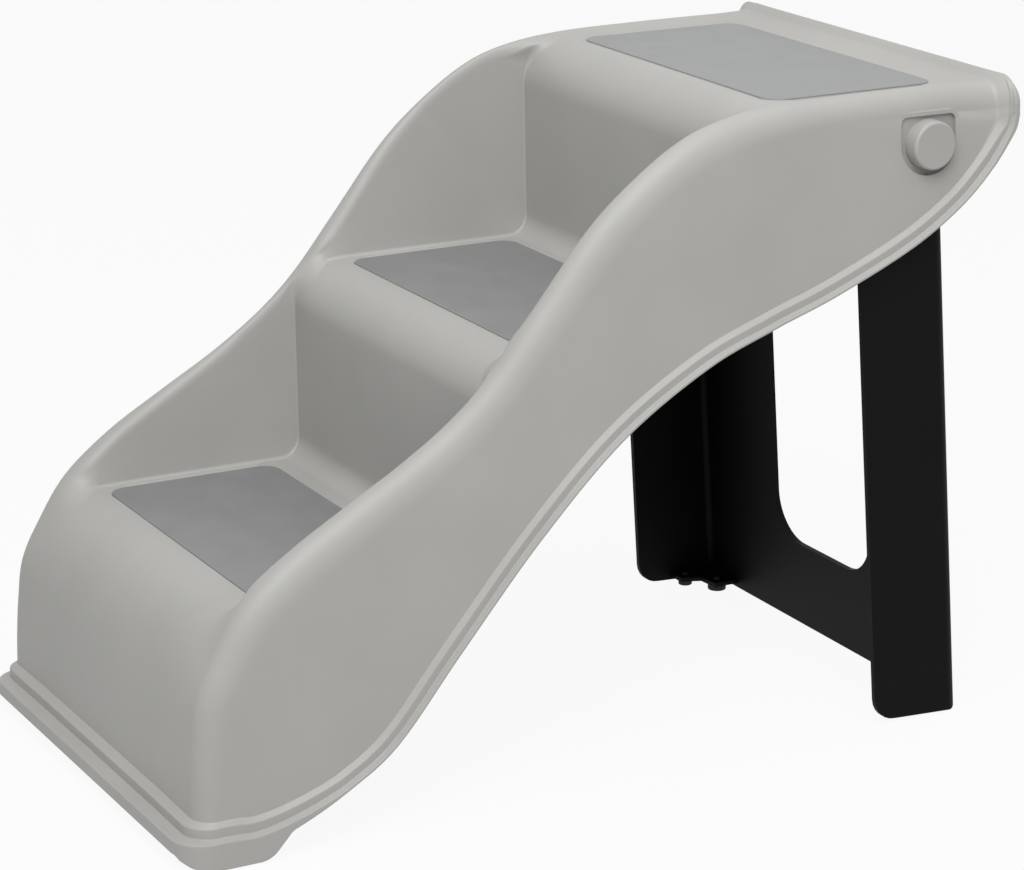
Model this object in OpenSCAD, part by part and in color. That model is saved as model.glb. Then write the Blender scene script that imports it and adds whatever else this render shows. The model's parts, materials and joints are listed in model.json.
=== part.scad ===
// Folding three-tread pet stairs: one moulded shell, three grip mats and a rear leg frame
// that swings forward under the treads on two pivots.
// X runs across the width, Y from the front to the rear, Z up. Millimetres.

/* [Overall] */
// Width over the brim of the shell
width = 400; // [380:1:410]
// Height of the bottom tread above the floor
tread_1_z = 179; // [174:0.5:184]
// Rise from one tread to the next
rise = 161.3; // [155:0.1:165]
// Run from one riser to the next
run = 210; // [205:1:215]

/* [Shell] */
// Thickness of the moulded skin
skin = 3; // [2.8:0.1:3.4]
// Radius of the hollow corner where a tread meets the riser behind it
cove_r = 17; // [12:1:20]
// Radius of the nosing at the front of the middle and top treads
nosing_r = 38; // [30:1:40]
// Half width between the side walls at tread level
bay_half = 158; // [154:0.5:158.5]
// Radius of the hollow corner where a tread or riser meets a side wall
bay_cove_r = 3; // [2:0.5:8]
// How far the rounding of the rim reaches across the top of a side wall
rim_w = 16; // [14:1:17]
// How far the rounding of the rim reaches down a side wall
rim_h = 25; // [20:1:26]
// Radius of the upright front corners
corner_r = 18; // [16:1:24]

/* [Brim] */
// Width of the stepped brim along the sides
brim_w = 9; // [8:0.5:10]
// Depth of the stepped brim along the sides
brim_h = 13; // [12:0.5:14]
// Width of the brim across the front
front_brim_w = 16; // [14:0.5:17]
// Depth of the brim across the front
front_brim_h = 24.5; // [22:0.5:26]

/* [Mats] */
// Width of each grip mat
mat_w = 293; // [280:1:295]
// Thickness of each grip mat
mat_t = 2.2; // [2:0.1:3]
// Depth of the shallow recess that a mat lies in
mat_inset = 1.4; // [0.8:0.1:1.6]
// Radius of the mat corners
mat_r = 15; // [10:1:18]

/* [Leg frame] */
// Distance of the pivot axis from the front of the shell
pivot_y = 626; // [622:1:630]
// Height of the pivot axis above the floor
pivot_z = 465.5; // [463.5:0.5:466]
// Backward lean of the open leg, in degrees
leg_rake = 3.84; // [3:0.1:4.2]
// Half width over the leg frame at the pivot
leg_half = 184; // [182:0.2:184.2]
// Outward splay of the leg sides, in degrees
leg_splay = 0.43; // [0:0.01:0.45]
// Wall thickness of the leg frame
leg_t = 4.5; // [4:0.1:5]
// Distance from the pivot axis to the rear face of the leg
leg_back = 16; // [14:0.5:16.5]
// Distance from the pivot axis to the front edge of the leg
leg_front = 62.5; // [55:0.5:64]
// Half width of the opening in the rear panel
window_half = 72; // [60:1:80]
// Radius of the lower corners of that opening
window_r = 38; // [25:1:45]

/* [Pivot] */
// Diameter of the pivot pin
pin_d = 12; // [10:0.5:13]
// Running clearance on the radius between pin and bush
pin_gap = 0.05; // [0.03:0.01:0.09]
// Diameter of the round knob cap
knob_d = 38; // [34:1:40]
// Height of the knob cap above its flat seat
knob_h = 14; // [11:0.1:15]
// Radius of the pocket in the side wall that the knob sits in
pocket_r = 24; // [22:0.5:26]

/* [Hidden] */
$fn = 64;

half = width / 2;
wall_x = half - brim_w;
tread_2_z = tread_1_z + rise;
top_z = tread_2_z + rise;
riser_1_y = 258.5;
riser_2_y = riser_1_y + run;
riser_lean = 1;
front_y = front_brim_w;
wall_foot_z = 36.5;
lip_z = 512.5;
brim_corner_r = 26;
rear_corner_r = 22;
corner_from = wall_x - 1 - corner_r;
rear_y = 685;
side_rear_y = 688;

// Rim of a side wall, from the front corner up over the bottom tread to the platform
rim_knots = [[15.5, 36.5], [16, 60], [18, 90], [22.6, 122.7], [36.5, 152], [61, 188.5], [99, 220],
    [144, 247], [191, 274], [231, 301.5], [263, 331], [300, 376], [337, 422], [368, 451.5],
    [410, 481], [447, 496], [500, 504], [580, 506], [685, 506]];
// Free edge of the brim along a side, from the front corner to the rear
edge_knots = [[46, 12], [60, 13], [93, 24], [131, 43], [171, 71], [223, 133], [289, 209],
    [357, 274], [427, 318], [485, 341], [540, 360], [607, 389], [650, 416], [676, 443],
    [695, 466], [701, 478]];

// Height of the free edge where it dips to the floor round a front corner, by distance from the front
corner_dip = [[0.2, 12], [2, 9], [7.6, 5], [16, 2.4], [30, 1.5], [62, 1.5], [68, 3.6], [72, 6.5],
    [77, 12], [83, 18.5], [89, 25], [91, 600]];

// Point at position t on a smooth curve through the points P
function knot(P, i) = P[max(0, min(len(P) - 1, i))];
function ease(a, b, c, d, f) =
    0.5 * (2 * b + (c - a) * f + (2 * a - 5 * b + 4 * c - d) * f * f + (3 * b - a - 3 * c + d) * f * f * f);
function curve(P, t) = let (i = min(floor(t), len(P) - 2))
    ease(knot(P, i - 1), knot(P, i), knot(P, i + 1), knot(P, i + 2), t - i);
function unit(v) = v / norm(v);
function heading(P, t) = unit(curve(P, min(t + 0.05, len(P) - 1)) - curve(P, max(t - 0.05, 0)));
function bezier(a, b, c, d, f) =
    a * pow(1 - f, 3) + 3 * b * f * pow(1 - f, 2) + 3 * c * f * f * (1 - f) + d * pow(f, 3);

// The part's origin is at the middle of the box that it fills
front_edge_y = -0.5;
rear_edge_y = 701;
module placed() translate([0, -(front_edge_y + rear_edge_y) / 2, 0]) children();

// Profile down the middle of the stairs: rows of [point, rim position, edge position]
nose_from = [18.5, 85];
nose_to = [84, tread_1_z];
function nose_1(f) = bezier(nose_from, [20, 140], [42, tread_1_z], nose_to, f);
function arc(c, r, a, b, f) = c + r * [cos(a + (b - a) * f), sin(a + (b - a) * f)];
function step_rows(y, z, lift, r0, e0, r1, e1, r2, e2, r3, e3) = concat(
    [for (f = [0.25 : 0.25 : 1])
        [arc([y - cove_r, z + cove_r], cove_r, -90, 0, f), r0 + (r1 - r0) * f, e0 + (e1 - e0) * f]],
    [for (f = [1 / 3 : 1 / 3 : 1.01])
        [[y + riser_lean * f, z + cove_r + (lift - cove_r - nosing_r) * f],
            r1 + (r2 - r1) * f, e1 + (e2 - e1) * f]],
    [for (f = [0.2 : 0.2 : 1.01])
        [arc([y + riser_lean + nosing_r, z + lift - nosing_r], nosing_r, 180, 90, f),
            r2 + (r3 - r2) * f, e2 + (e3 - e2) * f]]);
function flat_rows(y0, y1, z, n, r0, e0, r1, e1) =
    [for (k = [1 : n]) let (f = k / n) [[y0 + (y1 - y0) * f, z], r0 + (r1 - r0) * f, e0 + (e1 - e0) * f]];
rows = concat(
    [[[front_y + 0.5, wall_foot_z], 0, 0], [[17.4, 60], 1, 0.55]],
    [for (f = [0 : 0.125 : 1]) [nose_1(f), 1.85 + 3.55 * f, 1.1 + 1.9 * f]],
    flat_rows(84, riser_1_y - cove_r, tread_1_z, 5, 5.4, 3, 8.2, 5.3),
    step_rows(riser_1_y, tread_1_z, rise, 8.2, 5.3, 8.75, 5.6, 9.7, 6, 10.6, 6.7),
    flat_rows(riser_1_y + riser_lean + nosing_r, riser_2_y - cove_r, tread_2_z, 5, 10.6, 6.7, 13, 8.4),
    step_rows(riser_2_y, tread_2_z, rise, 13, 8.4, 13.4, 8.7, 14.5, 9.4, 15.9, 10.2),
    flat_rows(riser_2_y + riser_lean + nosing_r, rear_y, top_z, 7, 15.9, 10.2, 18, 15));
row_n = len(rows);
last_row = row_n - 1;

function mid(i) = rows[i][0];
function rim(i) = curve(rim_knots, rows[i][1]);
function rim_in(i) = let (h = heading(rim_knots, rows[i][1])) [h[1], -h[0]];
function edge(i) = curve(edge_knots, rows[i][2]);
function edge_in(i) = i == 0 ? [0, 1]
    : i == last_row ? [-1, 0]
    : let (h = heading(edge_knots, rows[i][2])) [-h[1], h[0]];
function side_h(i) = lookup(rows[i][2], [[0, front_brim_h], [0.6, front_brim_h], [3, brim_h], [15, brim_h]]);
function foot(i) = edge(i) + edge_in(i) * side_h(i);
function heading_mid(i) = unit(mid(min(i + 1, last_row)) - mid(max(i - 1, 0)));
function mid_out(i) = let (h = heading_mid(i)) [-h[1], h[0]];
function outer_x(i) = wall_x - lookup(rows[i][1], [[0, 1], [4, 3], [8, 5], [17.7, 5], [18, 1.5]]);
function rear_shear(i) = lookup(rows[i][1], [[0, 0], [16.6, 0], [18, side_rear_y - 1 - rear_y]]);
// Rounding of the rim: its reach across the wall and its reach down the wall
rear_rim_h = 19;
function round_w(i) = lookup(rows[i][1], [[0, corner_r], [6, rim_w]]);
function round_h(i) = lookup(rows[i][1], [[0, corner_r], [6, rim_h], [15, rim_h], [16.5, rear_rim_h]]);

// One row of the skin from the middle line out to the foot of the right side wall
cut = 0.2929;
function proud(i) = max(0.8, (rim(i) - mid(i)) * mid_out(i));
function smooth(f) = let (g = max(0, min(1, f))) g * g * (3 - 2 * g);
// The side walls lean outwards: how much for each millimetre of height, and at the top of a riser
wall_lean = 0.06;
corner_lean = 7.4;
function bay_x(i) = bay_half + lookup(rows[i][1], [[0, -9], [3, -7], [6, 0], [8.2, 0], [9.7, corner_lean],
    [10.6, 0], [13, 0], [14.5, corner_lean]]);
// Hollow corner beside a tread, which is nearly sharp beside a riser and wide where the top nosing ends
bay_corner_min = 0.8;
top_cove_r = 12;
function side_cove(i) = bay_corner_min + pow(mid_out(i)[1], 2)
    * (lookup(rows[i][1], [[14.5, bay_cove_r], [15.2, top_cove_r]]) - bay_corner_min);
// Where the rim stands little above the treads, the wall flattens into a ramp. A ramp starts below a
// height, is complete at a lower one, and reaches in over the tread, further so on a nosing.
ramp_w = 10;
rim_edge_h = 9;
function ramp_below(i) = lookup(rows[i][1], [[5, 24], [8, 13], [14.4, 13], [14.8, 24]]);
function ramp_fade(i) = lookup(rows[i][1], [[5, 12], [8, 5], [14.4, 5], [14.8, 18]]);
function nose_ramp_w(i) = lookup(rows[i][1], [[5, 30], [8, 8]]);
function ramped(i) = smooth((ramp_below(i) - proud(i)) / ramp_fade(i))
    * (mid(i)[0] < riser_1_y - 1 ? 1 : smooth((mid_out(i)[1] - 0.3) / 0.25));
function half_row(i) = let (
    m = mid(i), n = mid_out(i), r = rim(i), d = rim_in(i), q = foot(i), w = ramped(i),
    c = min(side_cove(i), 0.42 * proud(i)),
    x = outer_x(i), o = round_w(i), oh = round_h(i), v = bay_x(i),
    top = min(v + 1 + wall_lean * max(0, r[1] - m[1]), x - o - skin - 0.4),
    eh = min(rim_edge_h, 0.42 * proud(i)), e = min(eh, x - o - top),
    low = m + n * c, high = r + d * eh,
    wall = [[v - c, m], [v - c * cut, m + n * c * cut], [v, low], [(v + top) / 2, (low + high) / 2], [top, high],
        [top + e * cut, r + d * eh * cut], [top + e, r]],
    from = v - ramp_w - nose_ramp_w(i) * (1 - pow(n[1], 4)),
    place = function (x, p) [x, p[0], p[1]])
    concat(
        [place(0, m)],
        [for (k = [0 : 6]) place(
            wall[k][0] * (1 - w) + (from + (x - o - from) * k / 6) * w,
            wall[k][1] * (1 - w) + (m + (r - m) * smooth(k / 6)) * w)],
        [for (a = [90 : -22.5 : 0])
            place(x - o + o * cos(a), r + d * oh * (1 - sin(a)) + [rear_shear(i) * (1 - sin(a)), 0])],
        [place((x + wall_x) / 2, (r + d * oh + [rear_shear(i), 0] + q) / 2), place(wall_x, q)]);
function mirrored(p) = [-p[0], p[1], p[2]];
half_n = len(half_row(0));
col_n = 2 * half_n - 1;
grid = [for (i = [0 : last_row]) let (h = half_row(i))
    concat([for (k = [half_n - 1 : -1 : 1]) mirrored(h[k])], h)];

// Skin normal at row i and column k, pointing out into the open air
function normal(i, k) = unit(cross(
    grid[i][min(k + 1, col_n - 1)] - grid[i][max(k - 1, 0)],
    grid[min(i + 1, last_row)][k] - grid[max(i - 1, 0)][k]));
under = [for (i = [0 : last_row]) [for (k = [0 : col_n - 1]) grid[i][k] - normal(i, k) * skin]];

// Closed loop round the edge of the skin: [row, column, way out to the free edge, way down its depth]
function flat_out(p) = let (a = abs(p[0]) - (half - brim_corner_r))
    a <= 0 ? [0, -front_brim_w, 0]
    : let (t = min(90, 90 * (abs(p[0]) - corner_from) / (wall_x - corner_from)),
        q = [half - brim_corner_r + brim_corner_r * sin(t), brim_corner_r * (1 - cos(t))])
        [sign(p[0]) * (q[0] - abs(p[0])), q[1] - p[1], 0];
function rear_out(p) = let (from = outer_x(last_row) - rim_w, a = abs(p[0]) - from)
    a <= 0 ? [0, 0, lip_z - p[2]]
    : let (t = min(90, 90 * max(a / (wall_x - from), (top_z - p[2]) / (rear_rim_h + 2))),
        q = [half - rear_corner_r + rear_corner_r * sin(t), lip_z - rear_corner_r * (1 - cos(t))])
        [sign(p[0]) * (q[0] - abs(p[0])), 0, t < 90 ? q[1] - p[2] : 0];
function side_down(i) = side_h(i) * [0, -edge_in(i)[0], -edge_in(i)[1]];
loop = concat(
    [for (k = [0 : col_n - 1]) [0, k, flat_out(grid[0][k]), [0, 0, -front_brim_h]]],
    [for (i = [1 : last_row - 1]) [i, col_n - 1, [brim_w, 0, 0], side_down(i)]],
    [for (k = [col_n - 1 : -1 : 0]) [last_row, k, rear_out(grid[last_row][k]), [0, brim_h, 0]]],
    [for (i = [last_row - 1 : -1 : 1]) [i, 0, [-brim_w, 0, 0], side_down(i)]]);
// How far the free edge at q hangs below its regular line
function dip(q) = max(0, q[2] - lookup(q[1], corner_dip));
// Steps across the brim at one station, each as [way out, way down, share of the dip]
function brim_points(s) = let (
    p = grid[s[0]][s[1]], o = s[2], d = s[3], w = norm(o), h = norm(d), low = [0, 0, -dip(p + o + d)],
    w1 = w * 0.42, h1 = 4, h2 = h1 + 5.6, h3 = h2 + 1.5, h4 = min(h, h2 + skin))
    [for (v = [[w1, h1, 0], [w1, h2, 0], [w, h3, 0], [w, h, 1], [w - skin, h, 1], [w - skin, h4, 0],
        [w1 - skin, h4, 0], [w1 - skin, h1 + skin, 0]]) p + o * v[0] / w + d * v[1] / h + low * v[2]];
loop_n = len(loop);
brim_n = 8;

grid_count = row_n * col_n;
function g(i, k) = i * col_n + k;
function u(i, k) = grid_count + i * col_n + k;
function b(s, j) = 2 * grid_count + (s % loop_n) * brim_n + j;
function g_loop(s) = let (t = loop[s % loop_n]) g(t[0], t[1]);
function u_loop(s) = let (t = loop[s % loop_n]) u(t[0], t[1]);
function quad(p, q, r, s) = [[p, q, r], [p, r, s]];
skin_points = concat(
    [for (r = grid) each r], [for (r = under) each r], [for (s = loop) each brim_points(s)]);
skin_faces = concat(
    [for (i = [0 : last_row - 1], k = [0 : col_n - 2])
        each quad(g(i, k), g(i + 1, k), g(i + 1, k + 1), g(i, k + 1))],
    [for (i = [0 : last_row - 1], k = [0 : col_n - 2])
        each quad(u(i, k), u(i, k + 1), u(i + 1, k + 1), u(i + 1, k))],
    [for (s = [0 : loop_n - 1]) each quad(g_loop(s), g_loop(s + 1), b(s + 1, 0), b(s, 0))],
    [for (s = [0 : loop_n - 1], j = [0 : brim_n - 2]) each quad(b(s, j), b(s + 1, j), b(s + 1, j + 1), b(s, j + 1))],
    [for (s = [0 : loop_n - 1]) each quad(b(s, brim_n - 1), b(s + 1, brim_n - 1), u_loop(s + 1), u_loop(s))]);

module skin_solid() polyhedron(points = skin_points, faces = skin_faces, convexity = 10);

// Rounded plate lying flat, centred in X, from y0 to y1 and up from height z
module rounded_plate(w, y0, y1, r, z, t)
    translate([0, (y0 + y1) / 2, z]) linear_extrude(t) {
        square([w - 2 * r, y1 - y0], center = true);
        square([w, y1 - y0 - 2 * r], center = true);
        for (i = [-1, 1], k = [-1, 1]) translate([i * (w / 2 - r), k * ((y1 - y0) / 2 - r)]) circle(r);
    }
// Draws its children on the side of the object that way gives: 1 for right, -1 for left
module on_side(way) if (way > 0) children(); else mirror([1, 0, 0]) children();
// Moves its children to the pivot, with their Z axis along the pivot axis, out from x on the right side
module along_pivot(x) translate([x, pivot_y, pivot_z]) rotate([90, 0, 90]) children();
module disc(x0, x1, r) along_pivot(x0) cylinder(h = x1 - x0, r = r);
module ring(x0, x1, r_out, r_in) along_pivot(x0) linear_extrude(x1 - x0) difference() {
    circle(r_out);
    circle(r_in);
}

// Places along the pivot axis, outwards from the middle line
seat_x = 184.4;
seat_t = 2.8;
seat_in = seat_x - seat_t;
thrust_gap = 0.3;
flange_t = 1.1;
leg_eye_x = seat_in - thrust_gap - flange_t;
boss_in = leg_eye_x - leg_t - 9.5;
washer_t = 1.5;
washer_r = 11;
washer_x = boss_in - thrust_gap - washer_t;
ring_t = 1.2;
ring_x = washer_x - ring_t;
pin_end = ring_x - 2.6;
pin_head_r = 8;
pin_head_h = 8;
bush_r = 8;
pocket_up = 21.5;
pocket_corner = 5;

// Treads with their mats: [front edge, rear edge, height]
mat_places = [[84.5, 228.5, tread_1_z],
    [riser_1_y + riser_lean + nosing_r + 1.5, riser_2_y - cove_r - 5.5, tread_2_z],
    [riser_2_y + riser_lean + nosing_r + 3.5, rear_y - 25, top_z]];
mat_clear = 0.5;

module pocket_outline(grow) {
    circle(pocket_r + grow);
    translate([-pocket_r - grow, 0]) square([2 * (pocket_r + grow), pocket_up - pocket_corner]);
    translate([-pocket_r + pocket_corner, 0]) square([2 * (pocket_r - pocket_corner), pocket_up + grow]);
    for (i = [-1, 1]) translate([i * (pocket_r - pocket_corner), pocket_up - pocket_corner])
        circle(pocket_corner + grow);
}
// Wall behind the knob pocket: it follows the lean of the side wall in two steps
module pivot_seat() {
    along_pivot(seat_in) linear_extrude(seat_t + 0.4) pocket_outline(3);
    along_pivot(seat_in) linear_extrude(5.2) intersection() {
        pocket_outline(3);
        translate([-40, -40]) square([80, 40]);
    }
}
module stair_shell() color([0.66, 0.66, 0.65]) difference() {
    union() {
        skin_solid();
        for (way = [-1, 1]) on_side(way) pivot_seat();
    }
    for (way = [-1, 1]) on_side(way) {
        along_pivot(seat_x) linear_extrude(12) pocket_outline(0);
        disc(seat_in - 2, seat_x + 2, pin_d / 2);
    }
    for (m = mat_places) rounded_plate(mat_w + 2 * mat_clear, m[0] - mat_clear, m[1] + mat_clear,
        mat_r + mat_clear, m[2] - mat_inset, 8);
}

module mat(n) color([0.55, 0.56, 0.55])
    rounded_plate(mat_w, mat_places[n][0], mat_places[n][1], mat_r, mat_places[n][2] - mat_inset, mat_t);
module bottom_tread_mat() mat(0);
module middle_tread_mat() mat(1);
module top_tread_mat() mat(2);

// Leg frame, in its own axes: the pivot is the origin, Y is across the leg and -Z runs down it
eye_r = 20;
eye_drop = 40;
leg_top_z = -98;
sole_z = 0.5;
sole_lift = 4;
toe_r = 19;
heel_r = 7;
leg_corner_r = 10;
window_low = -393.5;
window_high = -73.5;
function sole(y) = (sole_z + sole_lift * (leg_back - y) / (leg_back + leg_front) - pivot_z
    - y * sin(leg_rake)) / cos(leg_rake);
function round_points(c, r, a0, a1) = [for (k = [0 : 6]) c + r * [cos(a0 + (a1 - a0) * k / 6), sin(a0 + (a1 - a0) * k / 6)]];
module leg_side() {
    circle(eye_r);
    polygon(concat([[leg_back, 0], [0, eye_r - 1], [-eye_r + 1, 4], [-leg_front, leg_top_z]],
        round_points([-leg_front + toe_r, sole(-leg_front + toe_r) + toe_r], toe_r, 180, 270 - leg_rake),
        round_points([leg_back - heel_r, sole(leg_back - heel_r) + heel_r], heel_r, 270 - leg_rake, 360)));
}
// Right half of the channel seen from above: rear panel, rounded corner and side
module leg_half_plan(w) {
    c = [w - leg_corner_r, leg_back - leg_corner_r];
    translate([-8, leg_back - leg_t]) square([c[0] + 8, leg_t]);
    translate([w - leg_t, -leg_front - 3]) square([leg_t, c[1] + leg_front + 3]);
    translate(c) intersection() {
        difference() {
            circle(leg_corner_r);
            circle(leg_corner_r - leg_t);
        }
        square(leg_corner_r + 1);
    }
}
module leg_channel(w, z0, z1, splay) intersection() {
    rotate([90, 0, 90]) translate([0, 0, -half]) linear_extrude(width) leg_side();
    for (way = [-1, 1]) on_side(way)
        rotate([0, -splay, 0]) translate([0, 0, z0]) linear_extrude(z1 - z0) leg_half_plan(w);
}
module in_leg() translate([0, pivot_y, pivot_z]) rotate([leg_rake, 0, 0]) children();
module leg_window() in_leg() translate([0, leg_back + 1, 0]) rotate([90, 0, 0]) linear_extrude(leg_t + 2) {
    translate([-window_half + window_r, window_low]) square([2 * (window_half - window_r), window_high - window_low]);
    translate([-window_half, window_low + window_r])
        square([2 * window_half, window_high - window_low - 2 * window_r]);
    for (i = [-1, 1], z = [window_low + window_r, window_high - window_r])
        translate([i * (window_half - window_r), z]) circle(window_r);
}
// Shelves in the bottom corners of the channel, which the rubber feet are pressed into
shelf_z = 5.5;
shelf_t = 3.5;
// Rubber pads under each shelf: [x, y, radius]
foot_pads = [[174, 635, 6], [150, 653, 8]];
stem_r = 2.5;
module leg_shelf() translate([0, 0, shelf_z]) linear_extrude(shelf_t)
    polygon([[140, 670], [140, 645], [160, 643], [167, 626], [184.5, 626], [184.5, 670]]);
module leg_frame() color([0.09, 0.09, 0.1]) difference() {
    union() {
        in_leg() {
            leg_channel(leg_half, -500, -eye_drop, leg_splay);
            leg_channel(leg_eye_x, -eye_drop - 4, 30, 0);
            for (i = [-1, 1]) translate([i * (leg_eye_x + leg_half - 2 * leg_t) / 2, -8, -eye_drop - 2])
                cube([leg_half - leg_eye_x + leg_t, 36, 4], center = true);
        }
        for (way = [-1, 1]) on_side(way) {
            disc(boss_in, leg_eye_x - 1, 15);
            leg_shelf();
        }
    }
    for (way = [-1, 1]) on_side(way) {
        disc(boss_in - 2, leg_eye_x + 2, bush_r);
        for (f = foot_pads) translate([f[0], f[1], 0]) cylinder(h = shelf_z + 2 * shelf_t, r = stem_r);
    }
    leg_window();
}

// Pivot pieces, drawn on the right side
module knob_cap() color([0.64, 0.64, 0.63]) along_pivot(seat_x) rotate_extrude() difference() {
    union() {
        square([knob_d / 2, knob_h - 2.6]);
        square([knob_d / 2 - 2.6, knob_h]);
        translate([knob_d / 2 - 2.6, knob_h - 2.6]) circle(2.6);
    }
    translate([-1, -1]) square([pin_head_r + 1, pin_head_h + 1]);
    translate([-knob_d, -2]) square([knob_d, knob_h + 4]);
    translate([pin_head_r + 3, -1]) square([knob_d / 2 - 3 - pin_head_r - 3, knob_h - 2]);
}
module pivot_pin() color([0.75, 0.76, 0.78]) difference() {
    union() {
        disc(pin_end, seat_x + 0.5, pin_d / 2);
        disc(seat_x, seat_x + pin_head_h, pin_head_r);
    }
    ring(ring_x, ring_x + ring_t, pin_d, pin_d / 2 - 0.8);
}
module pivot_bush() color([0.86, 0.86, 0.83]) {
    ring(boss_in, leg_eye_x + flange_t / 2, bush_r, pin_d / 2 + pin_gap);
    ring(leg_eye_x, leg_eye_x + flange_t, bush_r + 4, pin_d / 2 + pin_gap);
}
module thrust_washer() color([0.86, 0.86, 0.83]) ring(washer_x, washer_x + washer_t, washer_r, pin_d / 2);
module retaining_ring() color([0.6, 0.61, 0.63])
    along_pivot(ring_x) linear_extrude(ring_t) difference() {
        circle(10);
        circle(pin_d / 2 - 0.8);
        translate([-2.6, -12]) square([5.2, 12]);
    }
module left_knob_cap() on_side(-1) knob_cap();
module right_knob_cap() on_side(1) knob_cap();
module left_pivot_pin() on_side(-1) pivot_pin();
module right_pivot_pin() on_side(1) pivot_pin();
module left_pivot_bush() on_side(-1) pivot_bush();
module right_pivot_bush() on_side(1) pivot_bush();
module left_thrust_washer() on_side(-1) thrust_washer();
module right_thrust_washer() on_side(1) thrust_washer();
module left_retaining_ring() on_side(-1) retaining_ring();
module right_retaining_ring() on_side(1) retaining_ring();

// Rubber pieces, drawn on the right side
// Pad inside a front corner: a lug fits against the skin, and a narrower sole stands on the floor
front_foot_y = 28;
front_foot_size = [14, 30, 12];
front_sole_w = 8;
front_lug_z = 2.5;
module front_foot() color([0.16, 0.16, 0.17]) translate([half - skin - front_foot_size[0], front_foot_y, 0]) {
    cube([front_sole_w, front_foot_size[1], front_foot_size[2]]);
    translate([0, 0, front_lug_z]) cube(front_foot_size - [0, 0, front_lug_z]);
}
module leg_feet() color([0.16, 0.16, 0.17]) for (f = foot_pads) translate([f[0], f[1], 0]) {
    cylinder(h = shelf_z, r = f[2]);
    cylinder(h = shelf_z + shelf_t + 1.5, r = stem_r);
}
module stop_bumper() color([0.16, 0.16, 0.17]) translate([105, 621.7, 470]) cube([30, 14, top_z - skin - 470]);
module left_front_foot() on_side(-1) front_foot();
module right_front_foot() on_side(1) front_foot();
module left_leg_feet() on_side(-1) leg_feet();
module right_leg_feet() on_side(1) leg_feet();
module left_stop_bumper() on_side(-1) stop_bumper();
module right_stop_bumper() on_side(1) stop_bumper();

placed() stair_shell();
placed() bottom_tread_mat();
placed() middle_tread_mat();
placed() top_tread_mat();
placed() leg_frame();
placed() left_knob_cap();
placed() right_knob_cap();
placed() left_pivot_pin();
placed() right_pivot_pin();
placed() left_pivot_bush();
placed() right_pivot_bush();
placed() left_thrust_washer();
placed() right_thrust_washer();
placed() left_retaining_ring();
placed() right_retaining_ring();
placed() left_front_foot();
placed() right_front_foot();
placed() left_leg_feet();
placed() right_leg_feet();
placed() left_stop_bumper();
placed() right_stop_bumper();
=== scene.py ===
# %% [markdown]
# # Folding pet stairs
# Three moulded treads between low, curving side walls, a rubber mat on each tread, and a black leg
# frame that swings forward under the treads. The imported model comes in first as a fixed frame: it says
# where every piece is and what moves. Each cell after it makes one piece or one finish around it.

# %% Load the frame
import json
import math

import bmesh
import bpy
import numpy as np
from mathutils import Matrix, Vector


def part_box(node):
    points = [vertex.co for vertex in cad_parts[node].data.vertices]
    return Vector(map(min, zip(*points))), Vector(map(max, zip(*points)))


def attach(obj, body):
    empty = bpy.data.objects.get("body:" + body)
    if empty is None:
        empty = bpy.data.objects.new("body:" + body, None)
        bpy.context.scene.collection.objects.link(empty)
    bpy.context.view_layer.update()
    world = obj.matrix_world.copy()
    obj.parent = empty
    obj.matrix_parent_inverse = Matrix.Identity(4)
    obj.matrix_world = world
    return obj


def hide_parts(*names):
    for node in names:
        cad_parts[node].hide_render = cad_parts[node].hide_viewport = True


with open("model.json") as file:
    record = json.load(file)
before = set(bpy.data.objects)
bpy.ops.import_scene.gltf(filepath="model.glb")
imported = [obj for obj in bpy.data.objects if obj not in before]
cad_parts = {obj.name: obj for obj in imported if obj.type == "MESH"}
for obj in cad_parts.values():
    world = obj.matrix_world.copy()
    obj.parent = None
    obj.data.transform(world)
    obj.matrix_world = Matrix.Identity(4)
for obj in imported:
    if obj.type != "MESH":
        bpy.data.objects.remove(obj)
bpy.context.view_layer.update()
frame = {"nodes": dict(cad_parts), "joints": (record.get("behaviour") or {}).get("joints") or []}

# %% [markdown]
# ## Working in millimetres from the front edge
# The shell is easiest to think about in millimetres, with y counted from its front edge. The frame puts
# the origin at the middle of the footprint, so one function takes points there when a mesh is made. The
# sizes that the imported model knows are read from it: the width, the tread heights and the pivot.

# %% Sizes from the frame
MM = 0.001
shell_low, shell_high = (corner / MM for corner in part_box("stair_shell"))
front_edge_y = -0.5
origin_y = front_edge_y - shell_low.y
half = shell_high.x
lip_z = shell_high.z
mat_proud = 0.8
mat_names = ["bottom_tread_mat", "middle_tread_mat", "top_tread_mat"]
mat_boxes = [[corner / MM + Vector((0, origin_y, 0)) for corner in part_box(name)] for name in mat_names]
tread_1_z, tread_2_z, top_z = (round(box[1].z - mat_proud, 3) for box in mat_boxes)
fold = next(joint for joint in frame["joints"] if joint["name"] == "leg_fold")
pivot_y = fold["pos_m"][1] / MM + origin_y
pivot_z = fold["pos_m"][2] / MM
print("treads at", tread_1_z, tread_2_z, top_z, "pivot at", pivot_y, pivot_z)

# %% [markdown]
# ## Camera
# The photograph is taken with a long lens from the front right, a little above the top tread. The camera
# stands where the straight edges of the object say it stood, and it is turned from its three axes.

# %% Camera
picture_width = 1024
focal_pixels = 3450
sensor_mm = 36
camera_turn = math.radians(61.99)
camera_rise = math.radians(17.01)
camera_roll = math.radians(-0.145)
camera_place = Vector((2.292, -1.19975, 1.017))

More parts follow.
